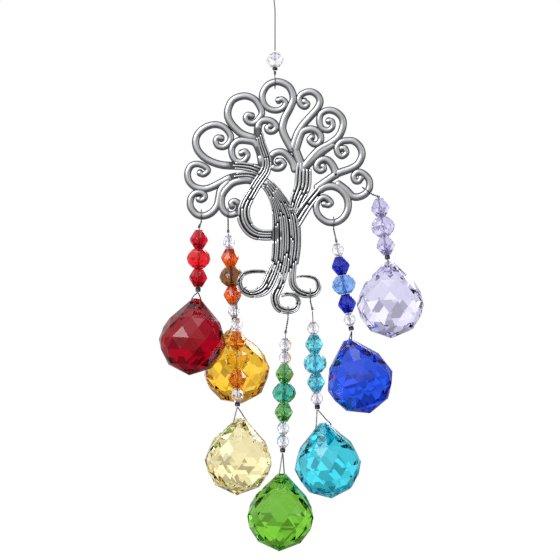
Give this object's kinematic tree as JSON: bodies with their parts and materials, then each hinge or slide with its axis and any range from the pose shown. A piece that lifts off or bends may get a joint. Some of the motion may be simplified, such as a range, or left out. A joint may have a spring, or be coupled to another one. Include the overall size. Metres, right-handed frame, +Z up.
{
  "type": "tree of life suncatcher",
  "caption": "Flat cast scrollwork tree on a hanging line; beaded wires under its branches each carry a faceted glass ball on a sling.",
  "frame": {"origin": "inner top of the hanging loop, where a hook carries it", "axes": "+Z up along the hanging line, +X across the tree to the right, +Y from the viewer into the object"},
  "size_m": [0.0791, 0.039, 0.1769],
  "materials": {
    "silver_casting": "antiqued cast silver, black in the grooves",
    "wire": "drawn steel wire",
    "crimp": "gunmetal plated crimp tube",
    "line": "thin pale hanging line",
    "clear_glass": "clear cut glass with a faint tint",
    "red_ball": "transparent red cut glass",
    "red_bicone": "transparent red cut glass",
    "red_rondelle": "transparent red cut glass",
    "amber_ball": "transparent amber cut glass",
    "amber_bicone": "transparent amber cut glass",
    "amber_rondelle": "transparent amber cut glass",
    "yellow_ball": "transparent yellow cut glass",
    "yellow_bicone": "transparent yellow cut glass",
    "yellow_rondelle": "transparent yellow cut glass",
    "green_ball": "transparent green cut glass",
    "green_bicone": "transparent green cut glass",
    "green_rondelle": "transparent green cut glass",
    "cyan_ball": "transparent cyan cut glass",
    "cyan_bicone": "transparent cyan cut glass",
    "cyan_rondelle": "transparent cyan cut glass",
    "blue_ball": "transparent blue cut glass",
    "blue_bicone": "transparent blue cut glass",
    "blue_rondelle": "transparent blue cut glass",
    "lavender_ball": "transparent lavender cut glass",
    "lavender_bicone": "transparent lavender cut glass",
    "lavender_rondelle": "transparent lavender cut glass"
  },
  "bodies": {
    "line": {"hanging_line": "line", "line_crimp": "crimp"},
    "crown": {"top_bead": "clear_glass", "top_crimp": "crimp"},
    "top_loop": {"top_hanger": "wire"},
    "tree_body": {"tree": "silver_casting"},
    "red_loop": {"red_hanger": "wire"},
    "red_strand": {"red_wire": "wire", "red_crimp": "crimp"},
    "red_sling_loop": {"red_sling": "wire"},
    "red_glass_ball": {"red_ball": "red_ball"},
    "amber_loop": {"amber_hanger": "wire"},
    "amber_strand": {"amber_wire": "wire", "amber_crimp": "crimp"},
    "amber_sling_loop": {"amber_sling": "wire"},
    "amber_glass_ball": {"amber_ball": "amber_ball"},
    "yellow_loop": {"yellow_hanger": "wire"},
    "yellow_strand": {"yellow_wire": "wire", "yellow_crimp": "crimp"},
    "yellow_sling_loop": {"yellow_sling": "wire"},
    "yellow_glass_ball": {"yellow_ball": "yellow_ball"},
    "green_loop": {"green_hanger": "wire"},
    "green_strand": {"green_wire": "wire", "green_crimp": "crimp"},
    "green_sling_loop": {"green_sling": "wire"},
    "green_glass_ball": {"green_ball": "green_ball"},
    "cyan_loop": {"cyan_hanger": "wire"},
    "cyan_strand": {"cyan_wire": "wire", "cyan_crimp": "crimp"},
    "cyan_sling_loop": {"cyan_sling": "wire"},
    "cyan_glass_ball": {"cyan_ball": "cyan_ball"},
    "blue_loop": {"blue_hanger": "wire"},
    "blue_strand": {"blue_wire": "wire", "blue_crimp": "crimp"},
    "blue_sling_loop": {"blue_sling": "wire"},
    "blue_glass_ball": {"blue_ball": "blue_ball"},
    "lavender_loop": {"lavender_hanger": "wire"},
    "lavender_strand": {"lavender_wire": "wire", "lavender_crimp": "crimp"},
    "lavender_sling_loop": {"lavender_sling": "wire"},
    "lavender_glass_ball": {"lavender_ball": "lavender_ball"},
    "red_bicones_free": {"red_bicones": "red_bicone"},
    "red_rondelle_free": {"red_rondelle": "red_rondelle"},
    "amber_bicones_free": {"amber_bicones": "amber_bicone"},
    "amber_rondelle_free": {"amber_rondelle": "amber_rondelle"},
    "amber_clears_free": {"amber_clears": "clear_glass"},
    "yellow_bicones_free": {"yellow_bicones": "yellow_bicone"},
    "yellow_rondelle_free": {"yellow_rondelle": "yellow_rondelle"},
    "yellow_clears_free": {"yellow_clears": "clear_glass"},
    "green_bicones_free": {"green_bicones": "green_bicone"},
    "green_rondelle_free": {"green_rondelle": "green_rondelle"},
    "green_clears_free": {"green_clears": "clear_glass"},
    "cyan_bicones_free": {"cyan_bicones": "cyan_bicone"},
    "cyan_rondelle_free": {"cyan_rondelle": "cyan_rondelle"},
    "cyan_clears_free": {"cyan_clears": "clear_glass"},
    "blue_bicones_free": {"blue_bicones": "blue_bicone"},
    "blue_rondelle_free": {"blue_rondelle": "blue_rondelle"},
    "blue_clears_free": {"blue_clears": "clear_glass"},
    "lavender_bicones_free": {"lavender_bicones": "lavender_bicone"},
    "lavender_rondelle_free": {"lavender_rondelle": "lavender_rondelle"}
  },
  "joints": [
    {"name": "crown_spin", "type": "hinge", "parent": "line", "child": "crown", "pos_m": [0, 0, -0.0272], "axis": [0, 0, 1], "continuous": true},
    {"name": "top_sway", "type": "hinge", "parent": "crown", "child": "top_loop", "pos_m": [0, 0, -0.0337], "axis": [0, 1, 0], "range_deg": [-25, 25]},
    {"name": "tree_tilt", "type": "hinge", "parent": "top_loop", "child": "tree_body", "pos_m": [0, 0, -0.0366], "axis": [1, 0, 0], "range_deg": [-25, 25]},
    {"name": "red_swing", "type": "hinge", "parent": "tree_body", "child": "red_loop", "pos_m": [-0.0221, 0, -0.0768], "axis": [-1, 0, 0], "range_deg": [0, 35]},
    {"name": "amber_swing", "type": "hinge", "parent": "tree_body", "child": "amber_loop", "pos_m": [-0.0141, 0, -0.0763], "axis": [-1, 0, 0], "range_deg": [-35, 0]},
    {"name": "yellow_swing", "type": "hinge", "parent": "tree_body", "child": "yellow_loop", "pos_m": [-0.0101, 0, -0.0992], "axis": [-0.6018, 0, 0.7986], "range_deg": [0, 4]},
    {"name": "green_swing", "type": "hinge", "parent": "tree_body", "child": "green_loop", "pos_m": [0.0039, 0, -0.1058], "axis": [-1, 0, 0], "range_deg": [-35, 35]},
    {"name": "cyan_swing", "type": "hinge", "parent": "tree_body", "child": "cyan_loop", "pos_m": [0.0106, 0, -0.1005], "axis": [-1, 0, 0], "range_deg": [-35, 35]},
    {"name": "blue_swing", "type": "hinge", "parent": "tree_body", "child": "blue_loop", "pos_m": [0.0176, 0, -0.0789], "axis": [-1, 0, 0], "range_deg": [-35, 4]},
    {"name": "lavender_swing", "type": "hinge", "parent": "tree_body", "child": "lavender_loop", "pos_m": [0.0278, 0, -0.0693], "axis": [-0.5736, 0, -0.8192], "range_deg": [0, 35]},
    {"name": "red_sway", "type": "hinge", "parent": "red_loop", "child": "red_strand", "pos_m": [-0.0227, -0.001, -0.08], "axis": [0, -1, 0], "range_deg": [-35, 0]},
    {"name": "amber_sway", "type": "hinge", "parent": "amber_loop", "child": "amber_strand", "pos_m": [-0.0141, 0.0026, -0.0814], "axis": [0, -1, 0], "range_deg": [-5, 14]},
    {"name": "yellow_sway", "type": "hinge", "parent": "yellow_loop", "child": "yellow_strand", "pos_m": [-0.0115, -0.0023, -0.1042], "axis": [0, -1, 0], "range_deg": [-1.5, 0]},
    {"name": "green_sway", "type": "hinge", "parent": "green_loop", "child": "green_strand", "pos_m": [0.0032, -0.001, -0.1116], "axis": [0, -1, 0], "range_deg": [0, 6]},
    {"name": "cyan_sway", "type": "hinge", "parent": "cyan_loop", "child": "cyan_strand", "pos_m": [0.0112, 0.0006, -0.1047], "axis": [0, -1, 0], "range_deg": [-7, 0.5]},
    {"name": "blue_sway", "type": "hinge", "parent": "blue_loop", "child": "blue_strand", "pos_m": [0.0184, -0.0004, -0.0843], "axis": [0, -1, 0], "range_deg": [0, 1.5]},
    {"name": "lavender_sway", "type": "hinge", "parent": "lavender_loop", "child": "lavender_strand", "pos_m": [0.031, -0.0006, -0.071], "axis": [0, -1, 0], "range_deg": [0, 35]},
    {"name": "red_spin", "type": "hinge", "parent": "red_strand", "child": "red_sling_loop", "pos_m": [-0.02301, -0.00366, -0.09978], "axis": [0.1493, 0.1763, 0.9729], "continuous": true},
    {"name": "amber_spin", "type": "hinge", "parent": "amber_strand", "child": "amber_sling_loop", "pos_m": [-0.01229, 0.00804, -0.10881], "axis": [0.239, -0.1628, 0.9573], "range_deg": [0, 90]},
    {"name": "yellow_spin", "type": "hinge", "parent": "yellow_strand", "child": "yellow_sling_loop", "pos_m": [-0.01119, -0.00343, -0.13408], "axis": [-0.174, 0.0889, 0.9807], "range_deg": [-40, 40]},
    {"name": "green_spin", "type": "hinge", "parent": "green_strand", "child": "green_sling_loop", "pos_m": [0.00228, -0.00609, -0.14767], "axis": [0.038, 0.1077, 0.9935], "continuous": true},
    {"name": "cyan_spin", "type": "hinge", "parent": "cyan_strand", "child": "cyan_sling_loop", "pos_m": [0.01278, 0.00292, -0.13517], "axis": [-0.3118, -0.0733, 0.9473], "continuous": true},
    {"name": "blue_spin", "type": "hinge", "parent": "blue_strand", "child": "blue_sling_loop", "pos_m": [0.02299, -0.00081, -0.11141], "axis": [0.1791, 0.0074, 0.9838], "range_deg": [-50, 12]},
    {"name": "lavender_spin", "type": "hinge", "parent": "lavender_strand", "child": "lavender_sling_loop", "pos_m": [0.03371, -0.00385, -0.0901], "axis": [-0.1731, 0.0277, 0.9845], "range_deg": [-10, 170]},
    {"name": "red_rock", "type": "hinge", "parent": "red_sling_loop", "child": "red_glass_ball", "pos_m": [-0.02353, -0.00428, -0.10315], "axis": [0.4786, 0.8482, -0.2271], "range_deg": [0, 50]},
    {"name": "amber_rock", "type": "hinge", "parent": "amber_sling_loop", "child": "amber_glass_ball", "pos_m": [-0.01327, 0.00871, -0.11275], "axis": [0.36, 0.9305, 0.0684], "range_deg": [-2, 20]},
    {"name": "yellow_rock", "type": "hinge", "parent": "yellow_sling_loop", "child": "yellow_glass_ball", "pos_m": [-0.01035, -0.00386, -0.13883], "axis": [0.6228, 0.7814, 0.0397], "range_deg": [-2, 45]},
    {"name": "green_rock", "type": "hinge", "parent": "green_sling_loop", "child": "green_glass_ball", "pos_m": [0.00199, -0.00691, -0.15522], "axis": [0.3234, 0.9394, -0.1142], "range_deg": [-35, 2]},
    {"name": "cyan_rock", "type": "hinge", "parent": "cyan_sling_loop", "child": "cyan_glass_ball", "pos_m": [0.01457, 0.00334, -0.14061], "axis": [0.7288, 0.6212, 0.288], "range_deg": [-45, 35]},
    {"name": "blue_rock", "type": "hinge", "parent": "blue_sling_loop", "child": "blue_glass_ball", "pos_m": [0.02226, -0.00084, -0.11539], "axis": [0.1669, 0.9853, -0.0378], "range_deg": [-30, 1]},
    {"name": "lavender_rock", "type": "hinge", "parent": "lavender_sling_loop", "child": "lavender_glass_ball", "pos_m": [0.03408, -0.00391, -0.09217], "axis": [0.0893, 0.9959, -0.0123], "range_deg": [-45, 2]},
    {"name": "red_bicones_spin", "type": "hinge", "parent": "red_strand", "child": "red_bicones_free", "pos_m": [-0.0227, -0.001, -0.08], "axis": [-0.0154, -0.1335, -0.9909], "continuous": true},
    {"name": "red_rondelle_spin", "type": "hinge", "parent": "red_strand", "child": "red_rondelle_free", "pos_m": [-0.0227, -0.001, -0.08], "axis": [-0.0154, -0.1335, -0.9909], "continuous": true},
    {"name": "amber_bicones_spin", "type": "hinge", "parent": "amber_strand", "child": "amber_bicones_free", "pos_m": [-0.0141, 0.0026, -0.0814], "axis": [0.0648, 0.1943, -0.9788], "continuous": true},
    {"name": "amber_rondelle_spin", "type": "hinge", "parent": "amber_strand", "child": "amber_rondelle_free", "pos_m": [-0.0141, 0.0026, -0.0814], "axis": [0.0648, 0.1943, -0.9788], "continuous": true},
    {"name": "amber_clears_spin", "type": "hinge", "parent": "amber_strand", "child": "amber_clears_free", "pos_m": [-0.0141, 0.0026, -0.0814], "axis": [0.0648, 0.1943, -0.9788], "continuous": true},
    {"name": "yellow_bicones_spin", "type": "hinge", "parent": "yellow_strand", "child": "yellow_bicones_free", "pos_m": [-0.0115, -0.0023, -0.1042], "axis": [0.0103, -0.0378, -0.9992], "continuous": true},
    {"name": "yellow_rondelle_spin", "type": "hinge", "parent": "yellow_strand", "child": "yellow_rondelle_free", "pos_m": [-0.0115, -0.0023, -0.1042], "axis": [0.0103, -0.0378, -0.9992], "continuous": true},
    {"name": "yellow_clears_spin", "type": "hinge", "parent": "yellow_strand", "child": "yellow_clears_free", "pos_m": [-0.0115, -0.0023, -0.1042], "axis": [0.0103, -0.0378, -0.9992], "continuous": true},
    {"name": "green_bicones_spin", "type": "hinge", "parent": "green_strand", "child": "green_bicones_free", "pos_m": [0.0032, -0.001, -0.1116], "axis": [-0.0252, -0.1398, -0.9899], "continuous": true},
    {"name": "green_rondelle_spin", "type": "hinge", "parent": "green_strand", "child": "green_rondelle_free", "pos_m": [0.0032, -0.001, -0.1116], "axis": [-0.0252, -0.1398, -0.9899], "continuous": true},
    {"name": "green_clears_spin", "type": "hinge", "parent": "green_strand", "child": "green_clears_free", "pos_m": [0.0032, -0.001, -0.1116], "axis": [-0.0252, -0.1398, -0.9899], "continuous": true},
    {"name": "cyan_bicones_spin", "type": "hinge", "parent": "cyan_strand", "child": "cyan_bicones_free", "pos_m": [0.0112, 0.0006, -0.1047], "axis": [0.0517, 0.0758, -0.9958], "continuous": true},
    {"name": "cyan_rondelle_spin", "type": "hinge", "parent": "cyan_strand", "child": "cyan_rondelle_free", "pos_m": [0.0112, 0.0006, -0.1047], "axis": [0.0517, 0.0758, -0.9958], "continuous": true},
    {"name": "cyan_clears_spin", "type": "hinge", "parent": "cyan_strand", "child": "cyan_clears_free", "pos_m": [0.0112, 0.0006, -0.1047], "axis": [0.0517, 0.0758, -0.9958], "continuous": true},
    {"name": "blue_bicones_spin", "type": "hinge", "parent": "blue_strand", "child": "blue_bicones_free", "pos_m": [0.0184, -0.0004, -0.0843], "axis": [0.1668, -0.0148, -0.9859], "continuous": true},
    {"name": "blue_rondelle_spin", "type": "hinge", "parent": "blue_strand", "child": "blue_rondelle_free", "pos_m": [0.0184, -0.0004, -0.0843], "axis": [0.1668, -0.0148, -0.9859], "continuous": true},
    {"name": "blue_clears_spin", "type": "hinge", "parent": "blue_strand", "child": "blue_clears_free", "pos_m": [0.0184, -0.0004, -0.0843], "axis": [0.1668, -0.0148, -0.9859], "continuous": true},
    {"name": "lavender_bicones_spin", "type": "hinge", "parent": "lavender_strand", "child": "lavender_bicones_free", "pos_m": [0.031, -0.0006, -0.071], "axis": [0.1387, -0.1664, -0.9763], "continuous": true},
    {"name": "lavender_rondelle_spin", "type": "hinge", "parent": "lavender_strand", "child": "lavender_rondelle_free", "pos_m": [0.031, -0.0006, -0.071], "axis": [0.1387, -0.1664, -0.9763], "continuous": true}
  ]
}
